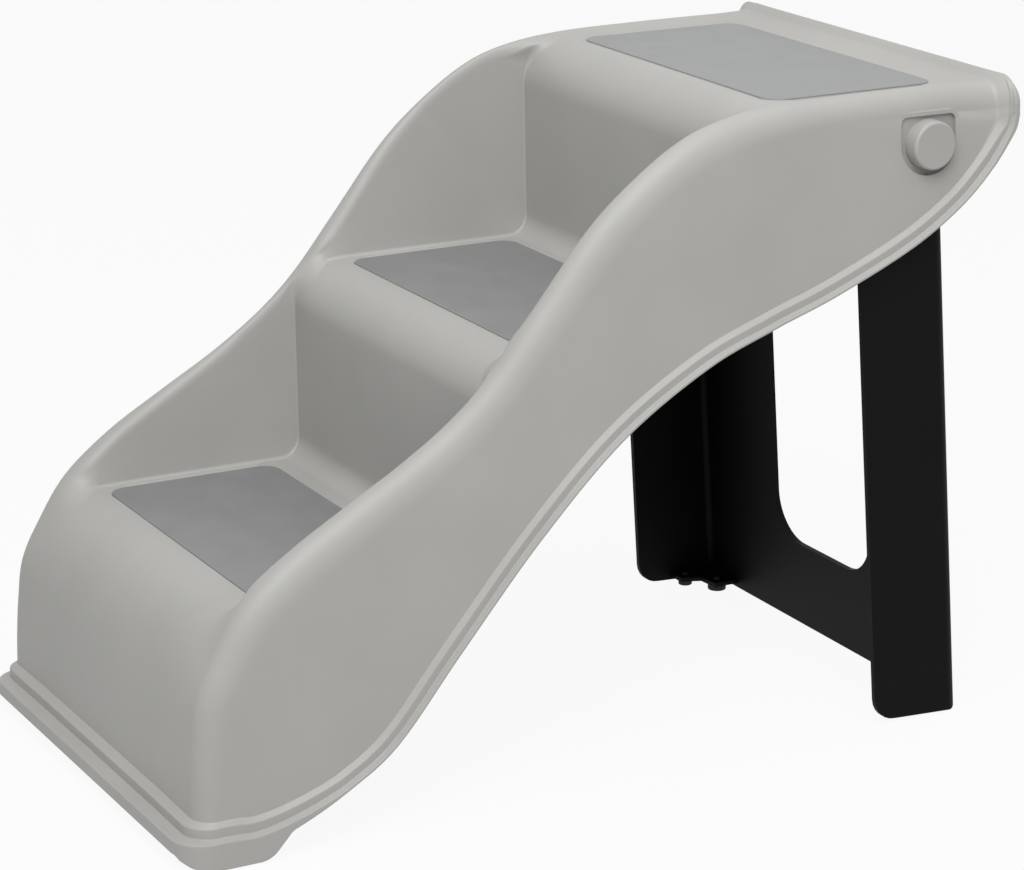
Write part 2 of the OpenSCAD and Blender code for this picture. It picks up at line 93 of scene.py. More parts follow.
back = Vector((math.sin(camera_turn) * math.cos(camera_rise),
               -math.cos(camera_turn) * math.cos(camera_rise), math.sin(camera_rise)))
right = Vector((math.cos(camera_turn), math.sin(camera_turn), 0))
up = back.cross(right)
right, up = (math.cos(camera_roll) * right + math.sin(camera_roll) * up,
             math.cos(camera_roll) * up - math.sin(camera_roll) * right)
camera = bpy.data.objects.new("camera", bpy.data.cameras.new("camera"))
bpy.context.scene.collection.objects.link(camera)
camera.data.sensor_width = sensor_mm
camera.data.lens = focal_pixels / picture_width * sensor_mm
camera.data.clip_end = 50
turn = Matrix((right, up, back)).transposed().to_4x4()
camera.matrix_world = Matrix.Translation(camera_place) @ turn
bpy.context.scene.camera = camera
print("lens", round(camera.data.lens, 1), "mm")

# %% [markdown]
# ## Colours and nodes
# Two small helpers serve every material. Screen colours are written as hex values, and Blender works with
# linear light, so one function turns one into the other. The second adds a node, sets its options, and
# fills its inputs with plain values or with links from other nodes.

# %% Helpers for materials
def linear(hex_colour):
    """A colour written as #RRGGBB, as linear red, green, blue and alpha"""
    parts = [int(hex_colour[i:i + 2], 16) / 255 for i in (1, 3, 5)]
    return [c / 12.92 if c <= 0.04045 else ((c + 0.055) / 1.055) ** 2.4 for c in parts] + [1]


def add_node(tree, kind, inputs=None, **options):
    """A new node in the tree, with its inputs filled by values or by sockets of other nodes"""
    node = tree.nodes.new(kind)
    for name, value in options.items():
        setattr(node, name, value)
    for name, value in (inputs or {}).items():
        if isinstance(value, bpy.types.NodeSocket):
            tree.links.new(value, node.inputs[name])
        else:
            node.inputs[name].default_value = value
    return node


def new_material(name):
    """An empty material, its node tree and the output that its shader goes to"""
    material = bpy.data.materials.new(name)
    material.use_nodes = True
    material.node_tree.nodes.clear()
    return material, material.node_tree, add_node(material.node_tree, "ShaderNodeOutputMaterial")


# %% [markdown]
# ## Floor, daylight and lamps
# The photograph has a plain white ground, so the floor is pale and wide. A camera, a mirror or a glass
# sees most of it as plain white, and the rest of it is real lit floor, which keeps the soft shadow. The
# world lights everything evenly, one wide lamp above the front right gives the rims their highlight, and a
# small lamp lifts the top tread.

# %% Floor
def seen_directly(tree):
    """1 for rays from the camera or by way of a mirror or glass, and 0 for light that only illuminates"""
    path = add_node(tree, "ShaderNodeLightPath")
    mirror = add_node(tree, "ShaderNodeMath", {0: path.outputs["Is Glossy Ray"],
                                               1: path.outputs["Is Transmission Ray"]}, operation="MAXIMUM")
    return add_node(tree, "ShaderNodeMath", {0: path.outputs["Is Camera Ray"], 1: mirror.outputs[0]},
                    operation="MAXIMUM").outputs[0]


# How much of the floor is plain white to the camera, the rest being lit floor with its shadow
plain_share = 0.93
floor_material, tree, output = new_material("matt white studio floor")
share = add_node(tree, "ShaderNodeMath", {0: seen_directly(tree), 1: plain_share}, operation="MULTIPLY")
lit = add_node(tree, "ShaderNodeBsdfDiffuse", {"Color": linear("#D4D4D2")})
plain = add_node(tree, "ShaderNodeEmission", {"Color": [1, 1, 1, 1], "Strength": 1})
mixed = add_node(tree, "ShaderNodeMixShader", {0: share.outputs[0], 1: lit.outputs[0], 2: plain.outputs[0]})
tree.links.new(mixed.outputs[0], output.inputs["Surface"])

floor_half = 30
floor_mesh = bpy.data.meshes.new("floor")
floor_mesh.from_pydata([(-floor_half, -floor_half, 0), (floor_half, -floor_half, 0),
                        (floor_half, floor_half, 0), (-floor_half, floor_half, 0)], [], [(0, 1, 2, 3)])
floor_mesh.materials.append(floor_material)
floor = bpy.data.objects.new("floor", floor_mesh)
bpy.context.scene.collection.objects.link(floor)
print("floor:", 2 * floor_half, "m wide")

# %% World
daylight = 0.355
world = bpy.data.worlds.new("even daylight")
world.use_nodes = True
world.node_tree.nodes.clear()
strength = add_node(world.node_tree, "ShaderNodeMapRange",
                    {"Value": seen_directly(world.node_tree), "To Min": daylight, "To Max": 1})
sky = add_node(world.node_tree, "ShaderNodeBackground",
               {"Color": [1, 1, 1, 1], "Strength": strength.outputs["Result"]})
add_node(world.node_tree, "ShaderNodeOutputWorld", {"Surface": sky.outputs[0]})
bpy.context.scene.world = world
bpy.context.scene.view_settings.view_transform = "Standard"
print("daylight on the object:", daylight)

# %% Lamps
lamp_aim = Vector((0, 0, 0.25))


def add_lamp(name, place, size, watts):
    """A square lamp at a place, turned towards the middle of the stairs"""
    lamp = bpy.data.objects.new(name, bpy.data.lights.new(name, "AREA"))
    bpy.context.scene.collection.objects.link(lamp)
    lamp.data.size = size
    lamp.data.energy = watts
    lamp.location = place
    lamp.rotation_euler = (lamp_aim - Vector(place)).to_track_quat("-Z", "Y").to_euler()
    print(name, watts, "W")


add_lamp("wide softbox", (1.5, -0.9, 2.4), 1.8, 57)
add_lamp("small lamp over the top tread", (0.1, 0.35, 1.35), 1, 2.5)

# %% [markdown]
# ## Satin moulded polypropylene
# The shell and the two knobs are injection moulded polypropylene. The mould is lightly spark eroded, which
# leaves a fine stipple: highlights on the rims are broad and soft. The melt cools unevenly, so the tone
# drifts a little over a hand's breadth. The stipple is really about 0.2 mm across, too fine for this
# picture, and is drawn at 1 mm. The black leg frame is duller, so less light is reflected by it.

# %% Material: moulded polypropylene
drift_mm = 90


def moulded_plastic(name, dark, light, roughness, grain_mm, grain_depth_mm, gloss_level=0.5):
    """Moulded plastic: a slow drift of tone, a fine stipple and a roughness that varies a little"""
    material, tree, output = new_material(name)
    place = add_node(tree, "ShaderNodeTexCoord").outputs["Object"]
    drift = add_node(tree, "ShaderNodeTexNoise",
                     {"Vector": place, "Scale": 1 / (drift_mm * MM), "Detail": 3, "Roughness": 0.5})
    stipple = add_node(tree, "ShaderNodeTexNoise",
                       {"Vector": place, "Scale": 1 / (grain_mm * MM), "Detail": 2, "Roughness": 0.55})
    tone = add_node(tree, "ShaderNodeValToRGB", {"Fac": drift.outputs["Fac"]})
    tone.color_ramp.elements[0].position = 0.3
    tone.color_ramp.elements[0].color = linear(dark)
    tone.color_ramp.elements[1].position = 0.7
    tone.color_ramp.elements[1].color = linear(light)
    gloss = add_node(tree, "ShaderNodeMapRange", {"Value": stipple.outputs["Fac"], "From Min": 0.3,
                                                  "From Max": 0.7, "To Min": roughness - 0.05,
                                                  "To Max": roughness + 0.05})
    relief = add_node(tree, "ShaderNodeBump", {"Height": stipple.outputs["Fac"], "Strength": 1,
                                               "Distance": grain_depth_mm * MM})
    shader = add_node(tree, "ShaderNodeBsdfPrincipled",
                      {"Base Color": tone.outputs["Color"], "Roughness": gloss.outputs["Result"],
                       "Normal": relief.outputs["Normal"], "IOR": 1.49,
                       "Specular IOR Level": gloss_level})
    tree.links.new(shader.outputs[0], output.inputs["Surface"])
    return material


shell_plastic = moulded_plastic("satin moulded polypropylene", "#AAA9A6", "#AFAEAB", 0.5, 1.0, 0.02)
knob_plastic = moulded_plastic("satin moulded polypropylene, knob", "#AAA9A6", "#B0AFAC", 0.42, 0.9, 0.012)
leg_plastic = moulded_plastic("black satin moulded polypropylene", "#080808", "#0B0B0B", 0.55, 1.1, 0.02,
                              gloss_level=0.1)
print("plastics:", shell_plastic.name, knob_plastic.name, leg_plastic.name, sep=" | ")

# %% [markdown]
# ## Rubber, steel and acetal
# The mats are a soft elastomer with a fine grain and a faint cloudiness where it was pressed. The feet
# and bumpers are plain black rubber, duller and rougher. The pins are turned on a lathe, so their marks
# run round the axis, along X here. The bushes and washers are acetal, a slippery milky plastic.

# %% Material: rubber
def rubber(name, dark, light, roughness, grain_mm, grain_depth_mm, cloud_mm):
    """Pressed rubber: cloudy tone, fine grain and no clear highlight"""
    material, tree, output = new_material(name)
    place = add_node(tree, "ShaderNodeTexCoord").outputs["Object"]
    cloud = add_node(tree, "ShaderNodeTexNoise",
                     {"Vector": place, "Scale": 1 / (cloud_mm * MM), "Detail": 5, "Roughness": 0.6})
    grain = add_node(tree, "ShaderNodeTexVoronoi", {"Vector": place, "Scale": 1 / (grain_mm * MM)},
                     feature="SMOOTH_F1")
    tone = add_node(tree, "ShaderNodeValToRGB", {"Fac": cloud.outputs["Fac"]})
    tone.color_ramp.elements[0].position = 0.35
    tone.color_ramp.elements[0].color = linear(dark)
    tone.color_ramp.elements[1].position = 0.65
    tone.color_ramp.elements[1].color = linear(light)
    gloss = add_node(tree, "ShaderNodeMapRange", {"Value": cloud.outputs["Fac"], "From Min": 0.35,
                                                  "From Max": 0.65, "To Min": roughness - 0.04,
                                                  "To Max": roughness + 0.04})
    relief = add_node(tree, "ShaderNodeBump", {"Height": grain.outputs["Distance"], "Strength": 1,
                                               "Distance": grain_depth_mm * MM})
    shader = add_node(tree, "ShaderNodeBsdfPrincipled",
                      {"Base Color": tone.outputs["Color"], "Roughness": gloss.outputs["Result"],
                       "Normal": relief.outputs["Normal"], "IOR": 1.52})
    tree.links.new(shader.outputs[0], output.inputs["Surface"])
    return material


mat_rubber = rubber("grained elastomer, grey", "#7F8080", "#858686", 0.42, 1.4, 0.03, 35)
foot_rubber = rubber("matt rubber, black", "#1A1A1B", "#232324", 0.75, 1.6, 0.05, 20)

# %% Material: turned steel and acetal
def turned_steel(name, tone_hex, roughness):
    """Steel turned on a lathe: fine marks round the X axis"""
    material, tree, output = new_material(name)
    place = add_node(tree, "ShaderNodeTexCoord").outputs["Object"]
    stretched = add_node(tree, "ShaderNodeMapping", {"Vector": place, "Scale": (1 / (0.4 * MM), 20, 20)})
    marks = add_node(tree, "ShaderNodeTexNoise", {"Vector": stretched.outputs[0], "Scale": 1, "Detail": 3})
    gloss = add_node(tree, "ShaderNodeMapRange", {"Value": marks.outputs["Fac"],
                                                  "To Min": roughness - 0.1, "To Max": roughness + 0.1})
    relief = add_node(tree, "ShaderNodeBump", {"Height": marks.outputs["Fac"], "Strength": 1,
                                               "Distance": 0.01 * MM})
    shader = add_node(tree, "ShaderNodeBsdfPrincipled",
                      {"Base Color": linear(tone_hex), "Metallic": 1, "Roughness": gloss.outputs["Result"],
                       "Normal": relief.outputs["Normal"]})
    tree.links.new(shader.outputs[0], output.inputs["Surface"])
    return material


pin_steel = turned_steel("turned steel", "#C4C6CA", 0.32)
ring_steel = turned_steel("spring steel", "#8F9296", 0.38)
acetal = moulded_plastic("acetal, off-white", "#DEDDD4", "#E4E3DB", 0.34, 0.8, 0.006)
print("metals and acetal:", pin_steel.name, ring_steel.name, acetal.name, sep=" | ")

# %% [markdown]
# ## Shapes from points
# Most pieces come from arrays of points, and a few steps serve them all: a smooth curve through a list of
# knots, a polyline with its corners rounded, and a mesh made from points and faces.

# %% Curves
def curve(knots, t):
    """Points at positions t on a smooth curve through the knots"""
    knots = np.asarray(knots, float)
    t = np.atleast_1d(np.asarray(t, float))
    i = np.minimum(t.astype(int), len(knots) - 2)
    f = (t - i)[:, None]
    a, b, c, d = (knots[np.clip(i + k, 0, len(knots) - 1)] for k in (-1, 0, 1, 2))
    return 0.5 * (2 * b + (c - a) * f + (2 * a - 5 * b + 4 * c - d) * f ** 2
                  + (3 * b - a - 3 * c + d) * f ** 3)


def unit(v):
    """The same vectors, each one long"""
    return v / np.linalg.norm(v, axis=-1, keepdims=True)


def heading(knots, t, near=0.05):
    """Direction of travel along that curve"""
    return unit(curve(knots, np.minimum(t + near, len(knots) - 1)) - curve(knots, np.maximum(t - near, 0)))


def smooth_step(f):
    """Eases from 0 to 1"""
    f = np.clip(f, 0, 1)
    return f * f * (3 - 2 * f)


def rounded_path(corners, steps=4):
    """A polyline with rounded corners. Each corner is its place, then its radius, then any other values,
    which all the points of that corner share. A rounding takes less than half of the shorter side."""
    corners = np.asarray(corners, float)
    path = [corners[0]]
    for before, corner, after in zip(corners, corners[1:], corners[2:]):
        to_before, to_after = before[:2] - corner[:2], after[:2] - corner[:2]
        room = 0.49 * min(np.hypot(*to_before), np.hypot(*to_after))
        to_before, to_after = unit(to_before), unit(to_after)
        half_angle = math.acos(np.clip(to_before @ to_after, -1, 1)) / 2
        reach = min(corner[2] / math.tan(half_angle), room)
        for f in np.linspace(0, 1, steps + 1):
            point = corner.copy()
            point[:2] += reach * ((1 - f) ** 2 * to_before + f ** 2 * to_after)
            path.append(point)
    return np.array(path + [corners[-1]])


print("a right angle rounded:", len(rounded_path([(0, 0, 0), (9, 0, 3), (9, 9, 0)])), "points")

# %% Meshes
def new_piece(name, points, faces, material):
    """An object at the origin, from points in millimetres with y counted from the front edge"""
    mesh = bpy.data.meshes.new(name)
    mesh.from_pydata(((np.asarray(points, float) - (0, origin_y, 0)) * MM).tolist(), [], faces)
    mesh.materials.append(material)
    piece = bpy.data.objects.new(name, mesh)
    bpy.context.scene.collection.objects.link(piece)
    return piece


def strips(index, around=False):
    """Four-sided faces between neighbouring rows of a grid of point numbers"""
    beside = np.roll(index, -1, axis=1)
    quads = np.stack([index[:-1], index[1:], beside[1:], beside[:-1]], axis=-1)
    return (quads if around else quads[:, :-1]).reshape(-1, 4).tolist()


def bake(piece):
    """Puts what the modifiers make in place of the mesh"""
    rough = piece.data
    solid = bpy.data.meshes.new_from_object(piece.evaluated_get(bpy.context.evaluated_depsgraph_get()))
    piece.modifiers.clear()
    solid.name = piece.name
    piece.data = solid
    bpy.data.meshes.remove(rough)


def finish_mesh(piece, sharp_degrees=35):
    """Applies the modifiers, turns the faces outwards, shades them smooth between sharp edges, and checks
    that the piece is closed"""
    bake(piece)
    check = bmesh.new()
    check.from_mesh(piece.data)
    if check.calc_volume(signed=True) < 0:
        bmesh.ops.reverse_faces(check, faces=check.faces)
    check.to_mesh(piece.data)
    open_edges = sum(not edge.is_manifold for edge in check.edges)
    print(piece.name, len(check.faces), "faces,", open_edges, "open edges,",
          round(check.calc_volume() / MM ** 3 / 1000, 1), "cubic cm")
    check.free()
    piece.data.shade_smooth()
    piece.data.set_sharp_from_angle(angle=math.radians(sharp_degrees))
    even = piece.modifiers.new("even normals", "WEIGHTED_NORMAL")
    even.keep_sharp = True
    bake(piece)
    return piece


def combine(piece, other, operation):
    """Joins another closed piece on, or cuts it out, and then removes it"""
    step = piece.modifiers.new(operation.lower(), "BOOLEAN")
    step.operation = operation
    step.solver = "EXACT"
    step.object = other
    bake(piece)
    bpy.data.objects.remove(other)


def soften(piece, width, segments=3, over_degrees=40):
    """Rounds the edges of a piece with a small bevel"""
    step = piece.modifiers.new("soft edges", "BEVEL")
    step.width = width * MM
    step.segments = segments
    step.limit_method = "ANGLE"
    step.angle_limit = math.radians(over_degrees)


def place_piece(piece, body, node):
    """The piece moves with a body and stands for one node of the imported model, which is hidden"""
    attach(piece, body)
    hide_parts(node)


# %% Solids from rings of points
def ring_solid(rings, hollow=False):
    """Points and faces of a closed solid through rings of as many points each. The end rings are closed by
    one face, or, where the solid is hollow like a tube, joined to each other."""
    rings = np.asarray(rings, float)
    count, around = rings.shape[:2]
    index = np.arange(count * around).reshape(count, around)
    faces = strips(np.concatenate([index, index[:1]]) if hollow else index, around=True)
    if not hollow:
        faces += [index[0].tolist(), index[-1, ::-1].tolist()]
    return rings.reshape(-1, 3), faces


def turned(profile, start, way, segments=64):
    """Rings of a turned solid. The profile is a list of distance along the axis and radius."""
    way = np.asarray(way, float)
    side = np.roll(way, 1)
    turn = np.radians(np.linspace(0, 360, segments, endpoint=False))[:, None]
    circle = np.cos(turn) * side + np.sin(turn) * np.cross(way, side)
    return [np.asarray(start, float) + way * along + circle * radius for along, radius in profile]


def solid_piece(name, material, *solids):
    """One piece from one or more solids"""
    points, faces, count = [], [], 0
    for solid_points, solid_faces in solids:
        points.append(solid_points)
        faces += [[count + n for n in face] for face in solid_faces]
        count += len(solid_points)
    return new_piece(name, np.concatenate(points), faces, material)


def span(node):
    """Lowest and highest corner of a node, in millimetres with y counted from the front edge"""
    return [np.array(corner) / MM + (0, origin_y, 0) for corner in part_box(node)]


# %% [markdown]
# ## Rounded plates by Geometry Nodes
# The three mats and the two stop bumpers are all flat plates with rounded corners, in five sizes. One small
# node tree makes them: a rectangle gets round corners, is filled, raised by its thickness and closed with
# a base. Its inputs have names, so a plate is ordered by its sizes, and a bevel then softens its edges.

# %% Node tree for a rounded plate
weld = 0.01 * MM
corner_points = 12
plate_nodes = bpy.data.node_groups.new("rounded plate", "GeometryNodeTree")
plate_nodes.interface.new_socket("Plate", in_out="OUTPUT", socket_type="NodeSocketGeometry")
for socket_name, kind in (("Width", "Float"), ("Length", "Float"), ("Thickness", "Float"),
                          ("Corner radius", "Float"), ("Place", "Vector"), ("Material", "Material")):
    plate_nodes.interface.new_socket(socket_name, in_out="INPUT", socket_type="NodeSocket" + kind)
given = add_node(plate_nodes, "NodeGroupInput").outputs
outline = add_node(plate_nodes, "GeometryNodeCurvePrimitiveQuadrilateral",
                   {"Width": given["Width"], "Height": given["Length"]})
rounded = add_node(plate_nodes, "GeometryNodeFilletCurve", mode="POLY")
rounded.inputs["Count"].default_value = corner_points
plate_nodes.links.new(outline.outputs[0], rounded.inputs["Curve"])
plate_nodes.links.new(given["Corner radius"], rounded.inputs["Radius"])
base = add_node(plate_nodes, "GeometryNodeFillCurve", {"Curve": rounded.outputs[0]}, mode="NGONS")
raised = add_node(plate_nodes, "GeometryNodeExtrudeMesh",
                  {"Mesh": base.outputs[0], "Offset Scale": given["Thickness"], "Individual": False})
under = add_node(plate_nodes, "GeometryNodeFlipFaces", {"Mesh": base.outputs[0]})
both = add_node(plate_nodes, "GeometryNodeJoinGeometry")
plate_nodes.links.new(raised.outputs[0], both.inputs[0])
plate_nodes.links.new(under.outputs[0], both.inputs[0])
closed = add_node(plate_nodes, "GeometryNodeMergeByDistance",
                  {"Geometry": both.outputs[0], "Distance": weld})
placed = add_node(plate_nodes, "GeometryNodeTransform",
                  {"Geometry": closed.outputs[0], "Translation": given["Place"]})
real = add_node(plate_nodes, "GeometryNodeRealizeInstances", {"Geometry": placed.outputs[0]})
painted = add_node(plate_nodes, "GeometryNodeSetMaterial",
                   {"Geometry": real.outputs[0], "Material": given["Material"]})
add_node(plate_nodes, "NodeGroupOutput", {"Plate": painted.outputs[0]})
print("plate tree:", len(plate_nodes.nodes), "nodes")


# %% Helper that orders a plate
def plate(name, material, low, high, radius, soft=0):
    """A plate that fills the box between two corners, in millimetres, with its edges softened"""
    piece = new_piece(name, [(0, 0, 0)], [], material)
    step = piece.modifiers.new("rounded plate", "NODES")
    step.node_group = plate_nodes
    size = np.subtract(high, low)
    middle_x, middle_y, _ = np.add(low, high) / 2
    values = {"Width": size[0] * MM, "Length": size[1] * MM, "Thickness": size[2] * MM,
              "Corner radius": radius * MM, "Material": material,
              "Place": (middle_x * MM, (middle_y - origin_y) * MM, low[2] * MM)}
    for socket in plate_nodes.interface.items_tree:
        if socket.in_out == "INPUT":
            step[socket.identifier] = values[socket.name]
    if soft:
        soften(piece, soft)
    return piece


# %% [markdown]
# ## The shell: three lines that lead it
# The real shell is one moulding. Its form follows three lines seen from the side: the stepped profile down
# the middle, the flowing rim of the side walls, and the free edge of the brim. Each row of the surface
# joins one point of each line, so the rows fan through the coves and round the nosings.

# %% Lines that lead the shell
riser_1_y = 258.5
run = 210
riser_2_y = riser_1_y + run
riser_lean = 1
cove_r = 17
nosing_r = 38
rear_y = 685
# The front wall: its foot, two points on the way up, and where its nosing meets the bottom tread
wall_foot, wall_low, wall_high, nose_end = (16.5, 36.5), (17.4, 60), (18.5, 85), (84, tread_1_z)

rim_knots = [(15.5, 36.5), (16, 60), (18, 90), (22.6, 122.7), (36.5, 152), (61, 188.5), (99, 220),
             (144, 247), (191, 274), (231, 301.5), (263, 331), (300, 376), (337, 422), (368, 451.5),
             (410, 481), (447, 496), (500, 504), (580, 506), (685, 506)]
edge_knots = [(32, 12), (60, 13), (93, 24), (131, 43), (171, 71), (223, 133), (289, 209), (357, 274),
              (427, 318), (485, 341), (540, 360), (607, 389), (650, 416), (677.5, 442), (693, 462.5),
              (699, 472.5), (701, 481)]


def line(start, end, f):
    """Points from start to end"""
    return np.asarray(start) + np.outer(f, np.asarray(end, float) - start)


def arc(y, z, r, start, end, f):
    """Points on an arc about y, z, between two angles in degrees"""
    a = np.radians(start + (end - start) * f)
    return np.stack([y + r * np.cos(a), z + r * np.sin(a)], axis=1)


def front_nosing(f):
    """The long curve from the front wall over on to the bottom tread"""
    a, b, c, d = (np.array(p, float) for p in (wall_high, (20, 140), (42, tread_1_z), nose_end))
    f = f[:, None]
    return a * (1 - f) ** 3 + 3 * b * f * (1 - f) ** 2 + 3 * c * f ** 2 * (1 - f) + d * f ** 3


def step_up(y, z, z_next):
    """Cove, riser and nosing from one tread to the next: number of rows and line of each"""
    return [(8, lambda f: arc(y - cove_r, z + cove_r, cove_r, -90, 0, f)),
            (12, lambda f: line((y, z + cove_r), (y + riser_lean, z_next - nosing_r), f)),
            (16, lambda f: arc(y + riser_lean + nosing_r, z_next - nosing_r, nosing_r, 180, 90, f))]


nose_2_y = riser_1_y + riser_lean + nosing_r
nose_3_y = riser_2_y + riser_lean + nosing_r
lift_r = 40
lift_turn = 25
lift_y = rear_y - lift_r * math.sin(math.radians(lift_turn))
lines = [(6, lambda f: line(wall_foot, wall_low, f)),
         (6, lambda f: line(wall_low, wall_high, f)),
         (26, front_nosing),
         (14, lambda f: line(nose_end, (riser_1_y - cove_r, tread_1_z), f)),
         *step_up(riser_1_y, tread_1_z, tread_2_z),
         (14, lambda f: line((nose_2_y, tread_2_z), (riser_2_y - cove_r, tread_2_z), f)),
         *step_up(riser_2_y, tread_2_z, top_z),
         (18, lambda f: line((nose_3_y, top_z), (lift_y, top_z), f)),
         (6, lambda f: arc(lift_y, top_z + lift_r, lift_r, -90, lift_turn - 90, f))]
# Positions on the rim and on the free edge where each of these lines ends
rim_stops = [0, 1, 1.85, 5.4, 8.2, 8.75, 9.7, 10.6, 13, 13.4, 14.5, 15.9, 17.7, 18]
edge_stops = [0, 0.55, 1.1, 3, 5.3, 5.6, 6, 6.7, 8.4, 8.7, 9.4, 10.2, 15.1, 16]

profile, rim_t, edge_t = [], [], []
for n, (count, shape) in enumerate(lines):
    f = np.linspace(0, 1, count + 1)[0 if n == 0 else 1:]
    profile.append(shape(f))
    rim_t.append(rim_stops[n] + (rim_stops[n + 1] - rim_stops[n]) * f)
    edge_t.append(edge_stops[n] + (edge_stops[n + 1] - edge_stops[n]) * f)
profile, rim_t, edge_t = (np.concatenate(part) for part in (profile, rim_t, edge_t))


def eased(values, rounds=12):
    """Values with their sudden changes of pace smoothed out, and their ends kept"""
    for _ in range(rounds):
        values = np.concatenate([values[:1], (values[:-2] + 2 * values[1:-1] + values[2:]) / 4, values[-1:]])
    return values


rim_t, edge_t = eased(rim_t), eased(edge_t)
row_count = len(profile)
print("rows of the shell:", row_count)

# %% [markdown]
# ## The shell: one row across
# Seen along a row, the skin runs flat over half a tread, turns up through a small cove, climbs the inside
# of the wall, rolls over the rim and comes down outside to the brim. The same function with an inset of
# one skin thickness gives the underside, so the wall is 3 mm thick everywhere.

# %% Sizes of the rows
skin = 3
brim_w = 9
brim_h = 13
front_brim_w = 16
front_brim_h = 24.5
rear_brim_h = 16
wall_x = half - brim_w
bay_half = 158
wall_lean = 0.06
corner_lean = 7.4
cove_r_side = 3
cove_r_top = 12
rim_edge_h = 9
rim_w = 16
rim_h = 25
rear_rim_h = 19
# The wall stands at least this far above a tread, and its cove and edge take this share of its height
least_step = 0.8
round_share = 0.42
# Smallest radius that the inset skin keeps, and the flat widths beside the foot of a wall or a ramp
least_r = 0.4
ramp_flat = 10
middle_flat = 8
cove_points = 7
rim_points = 15
inner_wall_points = 4
outer_wall_points = 10
# Positions on the free edge: where its front turn ends, where its rear turn starts and over how much it
# goes on, and the same for the deeper brim at the rear
front_turn = 0.55
rear_turn_from, rear_turn = 15.3, 0.7
rear_deep_from, rear_deep = 12, 3.1
print("inner faces of the side walls", 2 * bay_half, "mm apart, brim", 2 * half, "mm wide")

# %% Values along the rows
steps_up = np.gradient(profile, axis=0)
profile_out = unit(np.stack([-steps_up[:, 1], steps_up[:, 0]], axis=1))
rims = curve(rim_knots, rim_t)
rim_way = heading(rim_knots, rim_t)
rims_in = np.stack([rim_way[:, 1], -rim_way[:, 0]], axis=1)
edges = curve(edge_knots, edge_t)
edge_way = heading(edge_knots, edge_t)
edges_in = np.stack([-edge_way[:, 1], edge_way[:, 0]], axis=1)
at_front = np.clip(1 - edge_t / front_turn, 0, 1)[:, None]
at_rear = np.clip((edge_t - rear_turn_from) / rear_turn, 0, 1)[:, None]
edges_in = unit(edges_in * (1 - at_front - at_rear) + at_front * (0, 1) + at_rear * (-1, 0))
front_share = np.interp(edge_t, [0.6, 3], [1, 0])
rear_share = smooth_step((edge_t - rear_deep_from) / rear_deep)
side_h = brim_h + (front_brim_h - brim_h) * front_share + (rear_brim_h - brim_h) * rear_share
feet = edges + edges_in * side_h[:, None]

# Outer face, roll and inner face of the side walls, by position on the rim
outer_x = wall_x - np.interp(rim_t, [0, 1, 4, 8, 17.7, 18], [0, 0.8, 3, 5, 5, 1.5])
roll_h = np.interp(rim_t, [0, 6, 15, 16.5], [rim_w, rim_h, rim_h, rear_rim_h])
bay_x = bay_half + np.interp(rim_t, [0, 3, 6, 8.2, 9.7, 10.6, 13, 14.5],
                             [-9, -7, 0, 0, corner_lean, 0, 0, corner_lean])

# Where the rim hardly stands out of the tread, as on the nosings, the wall fades into a ramp
proud = np.maximum(least_step, np.sum((rims - profile) * profile_out, axis=1))
facing_up = profile_out[:, 1]
past_riser_1 = profile[:, 0] > riser_1_y - 1
steep, steep_fade = 0.1, 0.6
ramp_below = np.interp(rim_t, [5, 8, 14.4, 14.8], [24, 13, 13, 34])
ramp_fade = np.interp(rim_t, [5, 8, 14.4, 14.8], [12, 5, 5, 28])
nose_ramp_w = np.interp(rim_t, [5, 8], [30, 8])
ramped = smooth_step((ramp_below - proud) / ramp_fade)
ramped = np.where(past_riser_1, ramped * smooth_step((facing_up - steep) / steep_fade), ramped)
ramp_from = bay_x - ramp_flat - nose_ramp_w * (1 - facing_up ** 4)
side_cove = np.interp(rim_t, [14.5, 15.2], [cove_r_side, cove_r_top])
cove = np.minimum(least_step + (side_cove - least_step) * facing_up ** 2, round_share * proud)
quarter = np.radians(np.linspace(0, 90, cove_points))
wide_quarter = np.radians(np.linspace(0, 90, rim_points))
print("the side walls stand up to", round(proud.max()), "mm above the treads")


